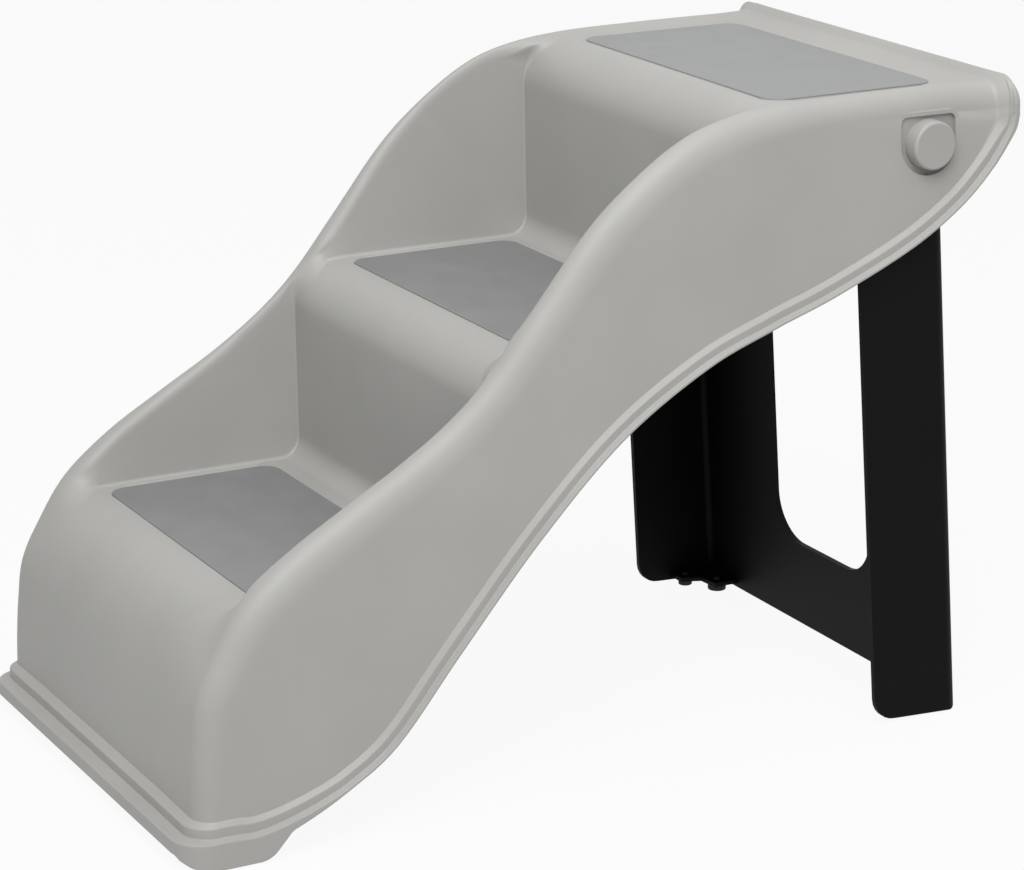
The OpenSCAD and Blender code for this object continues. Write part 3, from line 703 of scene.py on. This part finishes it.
# %% Points of a row
def half_row(i, inset):
    """Points of row i from the middle to the foot of the right wall, inset from the outer face"""
    # Points in the middle, on the rim and at the foot, and the ways out of the tread and down the wall
    m, n, r, d, foot = profile[i], profile_out[i], rims[i], rims_in[i], feet[i]
    # Cove, outer and inner face of the wall, roll of the rim, and rounded inner edge of the rim
    c, x, v, o, o_h = cove[i], outer_x[i], bay_x[i], rim_w, roll_h[i]
    top_x = min(v + 1 + wall_lean * max(0, r[1] - m[1]), x - o - (skin + least_r))
    e_h = min(rim_edge_h, round_share * proud[i])
    e = min(e_h, x - o - top_x)
    points = []

    def put(px, place):
        points.append((px, place[0], place[1]))

    def wall_inside():
        """Cove, inner face and rounded inner edge of a wall that stands well above the tread"""
        roll, roll_up = (max(e, inset + least_r), max(e_h, inset + least_r)) if inset else (e, e_h)
        # Where the wall is low, the cove of the inset skin shrinks until it stays under the rim
        climb = max(0.1 - inset, min(c, proud[i] - roll_up - 0.2)) if inset else c
        low, high = m + n * climb, r + d * roll_up
        for a in quarter:
            yield v - c + (c + inset) * math.sin(a), m + n * (climb - (climb + inset) * math.cos(a))
        for f in np.linspace(0, 1, inner_wall_points + 2)[1:-1]:
            yield v + inset + (top_x - v) * f, low + (high - low) * f
        for a in quarter:
            yield (top_x + roll - (roll - inset) * math.cos(a),
                   r + d * (roll_up - (roll_up - inset) * math.sin(a)))

    for px in (0, (ramp_from[i] - middle_flat) / 2):
        put(px, m - n * inset)
    climbing = list(wall_inside())
    for (px, place), f in zip(climbing, np.linspace(0, 1, len(climbing))):
        ramp_x = ramp_from[i] + (x - o - ramp_from[i]) * f
        ramp = m - n * inset + (r - m) * smooth_step(f)
        put(px + (ramp_x - px) * ramped[i], place + (ramp - place) * ramped[i])
    for a in wide_quarter:
        put(x - o + (o - inset) * math.sin(a), r + d * (o_h - (o_h - inset) * math.cos(a)))
    shoulder = r + d * o_h
    for f in np.linspace(0, 1, outer_wall_points + 1)[1:]:
        put(x - inset + (wall_x - x) * f, shoulder + (foot - shoulder) * f)
    return np.array(points)


def full_row(i, inset):
    """The same row from the foot of the left wall to the foot of the right wall"""
    row = half_row(i, inset)
    return np.concatenate([row[:0:-1] * (-1, 1, 1), row])


outside = np.array([full_row(i, 0) for i in range(row_count)])
inside = np.array([full_row(i, skin) for i in range(row_count)])
column_count = outside.shape[1]
middle = column_count // 2
arc_from = middle + 2 + cove_points + inner_wall_points + cove_points
arc_to = arc_from + rim_points - 1
print("grid of the shell:", row_count, "rows by", column_count, "columns")

# %% [markdown]
# ## The shell: the stepped brim
# A brim with two ledges runs round the whole free edge. At each station on that edge it has a way out and
# a way down its depth. At the rear the way out is upwards, which makes the raised lip behind the top
# tread, and at the two front corners the outer face drops to the floor and makes a foot.

# %% Stations round the free edge
brim_corner_r = 26
rear_corner_r = 22
# Beyond this distance from a corner, the way out is square to the edge again
skew_reach = 50
# Positions on the free edge where the rear corner's skew and its section start, and how long that takes
rear_skew_from = 15
rear_section_from, rear_section = 12.5, 3
# Height of the free edge where it drops to the floor at a front corner, by distance from the front
drop_y = [0.2, 2, 7.6, 16, 30, 62, 68, 72, 77, 83, 89, 91]
drop_z = [12, 9, 5, 2.4, 1.5, 1.5, 3.6, 6.5, 12, 18.5, 25, 600]


def end_station(i, k):
    """Way out of the brim on the first or last row, for a column on the right half"""
    p = outside[i, k]
    front = i == 0
    r = brim_corner_r if front else rear_corner_r
    corner_x = half - r
    edge_at = front_edge_y if front else lip_z
    sign = 1 if front else -1
    axis = 1 if front else 2
    bend_x = outside[i, arc_from, 0]
    target = p.copy()
    if k < arc_from:
        target[0] = p[0] + (corner_x - bend_x) * smooth_step((p[0] - bend_x + skew_reach) / skew_reach)
        target[axis] = edge_at
    elif k <= arc_to:
        a = math.radians(90) * (k - arc_from) / (arc_to - arc_from)
        target[0] = corner_x + r * math.sin(a)
        target[axis] = edge_at + sign * r * (1 - math.cos(a))
    else:
        target[0] = half
        target[axis] = edge_at + sign * r + p[axis] - outside[i, arc_to, axis]
    return target - p


# Each station: row, column, way out, way down, and its shares of the front, corner and lip sections
stations = []
for k in range(middle, column_count):
    stations.append((0, k, end_station(0, k), np.array([0, 0, -front_brim_h]), 1, 0, 0))
side_skew = stations[-1][2][1]
rear_skew = end_station(row_count - 1, column_count - 1)[2]
for i in range(1, row_count - 1):
    fade = 1 - smooth_step((edges[i, 0] - edges[0, 0]) / skew_reach)
    rear_fade = smooth_step(edge_t[i] - rear_skew_from)
    along = edge_way[i] * (side_skew * fade + rear_skew * rear_fade)
    way = np.array([brim_w, along[0], along[1]])
    down = np.array([0, -edges_in[i, 0], -edges_in[i, 1]]) * side_h[i]
    corner_share = smooth_step((edge_t[i] - rear_section_from) / rear_section)
    stations.append((i, column_count - 1, way, down, front_share[i], corner_share, 0))
for k in range(column_count - 1, middle - 1, -1):
    lip = smooth_step((arc_to - k) / (arc_to - arc_from))
    way = end_station(row_count - 1, k) if k > middle else np.array([0, 0, lip_z - outside[-1, middle, 2]])
    stations.append((row_count - 1, k, way, np.array([0, rear_brim_h, 0]), 0, 1, lip))
for i, k, way, down, *shares in stations[-2:0:-1]:
    stations.append((i, column_count - 1 - k, way * (-1, 1, 1), down, *shares))
print("stations round the brim:", len(stations))

# %% Section of the brim
# Width of the upper ledge, its depth, the depth where it drops, and the depth of the lower ledge
side_ledges = (4.4, 3.7, 9.4, 10.9)
front_ledges = (6.5, 4.5, 12, 14)


def brim_section(front, corner, lip):
    """Points of the brim as share of the way out, share of the way down and share of the front drop"""
    w = brim_w + (front_brim_w - brim_w) * front
    h = brim_h + (front_brim_h - brim_h) * front
    w1, h1, h2, h3 = (a + (b - a) * front for a, b in zip(side_ledges, front_ledges))
    under = h2 + min(skin, h - h2)
    side = np.array([
        (0, 0, 0, 0), (0, 0.8, 1.6, 0), (w1, h1, 1.3, 0), (w1, h2, 0.9, 0), (w, h3, 1, 0),
        (w, h, 0.8, 1), (w - skin, h, 0.8, 1), (w - skin, under, 0.6, 0), (w1 - skin, under, 0.9, 0),
        (w1 - skin, h1 + skin, 1, 0), (-skin, skin * 0.9, 1, 0)])
    rear_corner = np.array([
        (0, 0, 0, 0), (1.2, 2.4, 4, 0), (5.6, 8.2, 2, 0), (5.6, 10.6, 0.8, 0), (9, 11.8, 1, 0),
        (9, 16, 0.8, 0), (6, 16, 0.8, 0), (6, 14.6, 0.6, 0), (2.6, 13.4, 0.9, 0),
        (2.4, 9.4, 1, 0), (-skin, 0.6, 1, 0)])
    rear_lip = np.array([
        (0, 0, 0, 0), (1.3, 2.6, 4, 0), (7, 9, 2.4, 0), (4.9, 11.4, 0.8, 0), (4.7, 16, 0.8, 0),
        (2.2, 16, 0.8, 0), (2.2, 13, 0.6, 0), (1.9, 12.2, 0.4, 0), (3.9, 9.4, 1, 0),
        (0.2, 4.2, 2, 0), (-skin, 0.6, 1, 0)])
    size = np.array([w + (brim_w - w) * corner - 2 * lip, h + (rear_brim_h - h) * corner])
    mixed_shape = side + (rear_corner - side) * corner + (rear_lip - rear_corner) * lip
    section = rounded_path(mixed_shape)[1:]
    section[:, :2] /= size
    return section


brim = []
for i, k, way, down, *shares in stations:
    section = brim_section(*shares)
    free_edge = outside[i, k] + way + down
    drop = max(0, free_edge[2] - np.interp(free_edge[1], drop_y, drop_z))
    brim.append(outside[i, k] + np.outer(section[:, 0], way) + np.outer(section[:, 1], down)
                - np.outer(section[:, 3], (0, 0, drop)))
brim = np.array(brim)
print("points across the brim:", brim.shape[1])

# %% The skin as one closed mesh
grid_size = row_count * column_count
outside_index = np.arange(grid_size).reshape(row_count, column_count)
inside_index = outside_index + grid_size
brim_index = np.arange(brim.shape[0] * brim.shape[1]).reshape(brim.shape[:2]) + 2 * grid_size
edge_index = np.array([outside_index[i, k] for i, k, *_ in stations])[:, None]
inner_edge_index = np.array([inside_index[i, k] for i, k, *_ in stations])[:, None]
ring_index = np.concatenate([edge_index, brim_index, inner_edge_index], axis=1)
ring_index = np.concatenate([ring_index, ring_index[:1]])
shell_points = np.concatenate([outside.reshape(-1, 3), inside.reshape(-1, 3), brim.reshape(-1, 3)])
shell_faces = strips(outside_index[:, ::-1]) + strips(inside_index) + strips(ring_index)
shell = new_piece("moulded_shell", shell_points, shell_faces, shell_plastic)
print("skin:", len(shell_faces), "faces")

# %% [markdown]
# ## The shell: pockets, bores and mat recesses
# Each knob sits in a pocket with a flat top, whose floor is upright although the wall leans a little. So a
# seat is joined on behind the wall, then the pocket is cut with a small rounded edge that follows the wall,
# then the bore for the pivot pin. The mats lie in shallow recesses a quarter of a millimetre larger.

# %% Outline of a knob pocket
pocket_r = 24
pocket_up = 21.5
pocket_corner = 5
pocket_edge_r = 0.8
seat_x = 184.4
seat_in = 181.6
pin_r = 6
# The part of the side wall round the pivot that counts as flat: within this radius and below this height
flat_r = 40
flat_top = 485


def pocket_outline(grow):
    """Points of the pocket outline about the pivot, as y and z: round below, flat on top"""
    def turn(y, z, r, start, end, count):
        return arc(y, z, r + grow, start, end, np.linspace(0, 1, count))
    across, high = pocket_r - pocket_corner, pocket_up - pocket_corner
    return np.concatenate([turn(0, 0, pocket_r, 180, 360, 41), turn(across, high, pocket_corner, 0, 90, 9),
                           turn(-across, high, pocket_corner, 90, 180, 9)])


wall_points = outside[:, middle:].reshape(-1, 3)
near_pivot = ((np.hypot(wall_points[:, 1] - pivot_y, wall_points[:, 2] - pivot_z) < flat_r)
              & (wall_points[:, 2] < flat_top))
flat_wall = wall_points[near_pivot]
lean, *_ = np.linalg.lstsq(np.column_stack([np.ones(len(flat_wall)), flat_wall[:, 1:]]), flat_wall[:, 0],
                           rcond=None)
print("wall at the pivot: x", round(lean @ (1, pivot_y, pivot_z), 2), "mm")


def pocket_ring(side, grow, x=None, off_wall=0):
    """One ring of a pocket solid, at a given x or at a distance from the leaning wall"""
    y, z = (pocket_outline(grow) + (pivot_y, pivot_z)).T
    wall = lean[0] + lean[1] * y + lean[2] * z + off_wall if x is None else np.full(len(y), float(x))
    return np.column_stack([side * wall, y, z])


# %% Cut the pockets and the bores
sides = {"left": -1, "right": 1}
seat_margin = 3
under_face = 0.5
# How far the cutting pieces reach past the face of the wall, first closely and then well outside
past_face = 0.3
outside_wall = 9
for side in sides.values():
    seat = ring_solid([pocket_ring(side, seat_margin, x=seat_in),
                       pocket_ring(side, seat_margin, off_wall=-under_face)])
    combine(shell, finish_mesh(solid_piece("seat", shell_plastic, seat)), "UNION")
    r = pocket_edge_r
    mouth = [pocket_ring(side, r - r * math.cos(a), off_wall=r * math.sin(a) - r) for a in quarter]
    pocket = ring_solid([pocket_ring(side, 0, x=seat_x), *mouth,
                         pocket_ring(side, r + past_face, off_wall=past_face),
                         pocket_ring(side, r + past_face, off_wall=outside_wall)])
    combine(shell, finish_mesh(solid_piece("pocket", shell_plastic, pocket)), "DIFFERENCE")
    bore_profile = [(seat_in - 2, pin_r), (seat_x + 1, pin_r)]
    bore = ring_solid(turned(bore_profile, (0, pivot_y, pivot_z), (side, 0, 0)))
    combine(shell, finish_mesh(solid_piece("bore", shell_plastic, bore)), "DIFFERENCE")

# %% Cut the recesses for the mats
mat_r = 15
mat_clear = 0.25
above_tread = 8
mat_spans = [span(name) for name in mat_names]
for low, high in mat_spans:
    grow = np.array([mat_clear, mat_clear, 0])
    recess = plate("recess", shell_plastic, low - grow, high + grow + (0, 0, above_tread), mat_r + mat_clear)
    combine(shell, finish_mesh(recess), "DIFFERENCE")
finish_mesh(shell)
place_piece(shell, "stairs", "stair_shell")

# %% [markdown]
# ## Grip mats
# Each mat is a die-cut sheet of soft elastomer that is pressed into its recess and stands 0.8 mm proud. It
# is a plate with broad corners, and a small bevel where the die rounds the cut edge.

# %% Grip mats
mat_edge = 0.7
for name, (low, high) in zip(mat_names, mat_spans):
    mat = plate("pressed_" + name, mat_rubber, low, high, mat_r, mat_edge)
    finish_mesh(mat)
    place_piece(mat, "stairs", name)

# %% [markdown]
# ## Leg frame
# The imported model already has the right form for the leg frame: a channel with two sides, a rear panel and
# a window. A moulded piece has no knife edges, so a copy of it is made, its small triangles are merged
# into whole faces, and a bevel rounds the edges.

# %% Leg frame
leg_edge = 0.8
leg_node = frame["nodes"]["leg_frame"]
leg = bpy.data.objects.new("moulded_leg_frame", leg_node.data.copy())
bpy.context.scene.collection.objects.link(leg)
tidy = bmesh.new()
tidy.from_mesh(leg.data)
bmesh.ops.remove_doubles(tidy, verts=tidy.verts, dist=weld)
bmesh.ops.dissolve_limit(tidy, angle_limit=math.radians(1), verts=tidy.verts, edges=tidy.edges)
tidy.to_mesh(leg.data)
tidy.free()
leg.data.materials.clear()
leg.data.materials.append(leg_plastic)
soften(leg, leg_edge, segments=2)
finish_mesh(leg)
place_piece(leg, "legs", "leg_frame")

# %% [markdown]
# ## Knob caps and pivots
# A round cap covers the head of each pivot pin. The pin is turned steel with a groove for its retaining
# ring, and it runs in a flanged acetal bush in the leg frame, with a thrust washer inside. All of these are
# turned forms: a short profile that goes round the pivot axis, with small chamfers where a tool leaves them.

# %% Sizes of the turned pieces
knob_r = 19
knob_h = 14
knob_edge_r = 2.4
head_r = 8
head_h = 8
bush_r = 8
flange_r = 12
flange_t = 1.1
bush_mouth_r = 6.5
running_gap = 0.05
washer_r = 11
pin_chamfer = 0.8
chamfer = 0.4
small_chamfer = 0.2


def reach(node):
    """Where a node starts and ends, counted sideways from the middle of the stairs"""
    return sorted(abs(corner[0]) for corner in span(node))


def turned_piece(side_name, name, node, material, profile, body, hollow=False, segments=64):
    """A piece turned about the pivot axis, with its profile counted from the middle of the stairs"""
    rings = turned(profile, (0, pivot_y, pivot_z), (sides[side_name], 0, 0), segments)
    piece = finish_mesh(solid_piece(side_name + name, material, ring_solid(rings, hollow)))
    place_piece(piece, body, side_name + node)


print("pin through", reach("right_pivot_pin"), "mm")

# %% Profile of a knob cap
bottom_edge = 0.3
knob_top = [(seat_x + knob_h - knob_edge_r + knob_edge_r * math.sin(a),
             knob_r - bottom_edge - knob_edge_r * (1 - math.cos(a))) for a in quarter]
knob_profile = [(seat_x + head_h, head_r), (seat_x + bottom_edge, head_r), (seat_x, head_r + bottom_edge),
                (seat_x, knob_r - bottom_edge), (seat_x + bottom_edge, knob_r), *knob_top]
print("knob cap", 2 * knob_r, "mm across,", knob_h, "mm high")

# %% Knob caps, pins, bushes, washers and retaining rings
for side_name in sides:
    turned_piece(side_name, "_round_cap", "_knob_cap", knob_plastic, knob_profile, "stairs",
                 segments=96)

    ring_from, ring_to = reach(side_name + "_retaining_ring")
    pin_from, pin_to = reach(side_name + "_pivot_pin")
    pin_profile = [(pin_from, pin_r - pin_chamfer), (pin_from + pin_chamfer, pin_r), (ring_from, pin_r),
                   (ring_from, pin_r - pin_chamfer), (ring_to, pin_r - pin_chamfer), (ring_to, pin_r),
                   (seat_x, pin_r), (seat_x, head_r - chamfer), (seat_x + chamfer, head_r),
                   (pin_to - chamfer, head_r), (pin_to, head_r - chamfer)]
    turned_piece(side_name, "_turned_pin", "_pivot_pin", pin_steel, pin_profile, "stairs")

    bush_from, bush_to = reach(side_name + "_pivot_bush")
    flange_from = bush_to - flange_t
    bush_profile = [(bush_from, bush_mouth_r), (bush_from, bush_r - chamfer), (bush_from + chamfer, bush_r),
                    (flange_from, bush_r), (flange_from, flange_r - small_chamfer),
                    (flange_from + small_chamfer, flange_r), (bush_to - small_chamfer, flange_r),
                    (bush_to, flange_r - small_chamfer), (bush_to, bush_mouth_r),
                    (bush_to - chamfer, pin_r + running_gap), (bush_from + chamfer, pin_r + running_gap)]
    turned_piece(side_name, "_flanged_bush", "_pivot_bush", acetal, bush_profile, "legs",
                 hollow=True)

    near_end, far_end = reach(side_name + "_thrust_washer")
    c = small_chamfer
    washer_profile = [(near_end, pin_r + c), (near_end, washer_r - c), (near_end + c, washer_r),
                      (far_end - c, washer_r), (far_end, washer_r - c), (far_end, pin_r + c),
                      (far_end - c, pin_r), (near_end + c, pin_r)]
    turned_piece(side_name, "_turned_washer", "_thrust_washer", acetal, washer_profile, "stairs",
                 hollow=True)

    frame["nodes"][side_name + "_retaining_ring"].material_slots[0].material = ring_steel

# %% [markdown]
# ## Feet and bumpers
# Rubber keeps the plastic off the floor: a pad inside each front corner, and two round pads with stems under
# each bottom corner of the leg frame. Two bumpers under the top tread stop the leg frame when it is open.

# %% Feet under the shell
sole_w = 8
lug_z = 2.5
soft_rubber_edge = 0.8
for side_name, side in sides.items():
    low, high = span(side_name + "_front_foot")
    inner, outer = reach(side_name + "_front_foot")
    section = np.array([(inner, 0), (inner + sole_w, 0), (inner + sole_w, lug_z), (outer, lug_z),
                        (outer, high[2]), (inner, high[2])])
    rings = [np.column_stack([side * section[:, 0], np.full(len(section), y), section[:, 1]])
             for y in (low[1], high[1])]
    foot = solid_piece(side_name + "_corner_foot", foot_rubber, ring_solid(rings))
    soften(foot, soft_rubber_edge)
    place_piece(finish_mesh(foot), "stairs", side_name + "_front_foot")

# %% Feet under the leg frame, and the bumpers
# Each pad: its place across and along the stairs, and its radius
leg_pads = [(174, 635, 6), (150, 653, 8)]
pad_h = 5.5
pad_edge_r = 1
stem_top = 10.5
stem_r = 2.5
bumper_corner_r = 2
for side_name, side in sides.items():
    pads = []
    for x, y, r in leg_pads:
        pad_edge = [(pad_edge_r * (1 - math.sin(a)), r - pad_edge_r * (1 - math.cos(a)))
                    for a in quarter[::-1]]
        pad_profile = [*pad_edge, (pad_h, r), (pad_h, stem_r), (stem_top - chamfer, stem_r),
                       (stem_top, stem_r - chamfer)]
        pads.append(ring_solid(turned(pad_profile, (side * x, y, 0), (0, 0, 1), 48)))
    feet_piece = solid_piece(side_name + "_leg_pads", foot_rubber, *pads)
    place_piece(finish_mesh(feet_piece), "legs", side_name + "_leg_feet")

    low, high = span(side_name + "_stop_bumper")
    bumper = plate(side_name + "_block_bumper", foot_rubber, low, high, bumper_corner_r, soft_rubber_edge)
    place_piece(finish_mesh(bumper), "stairs", side_name + "_stop_bumper")
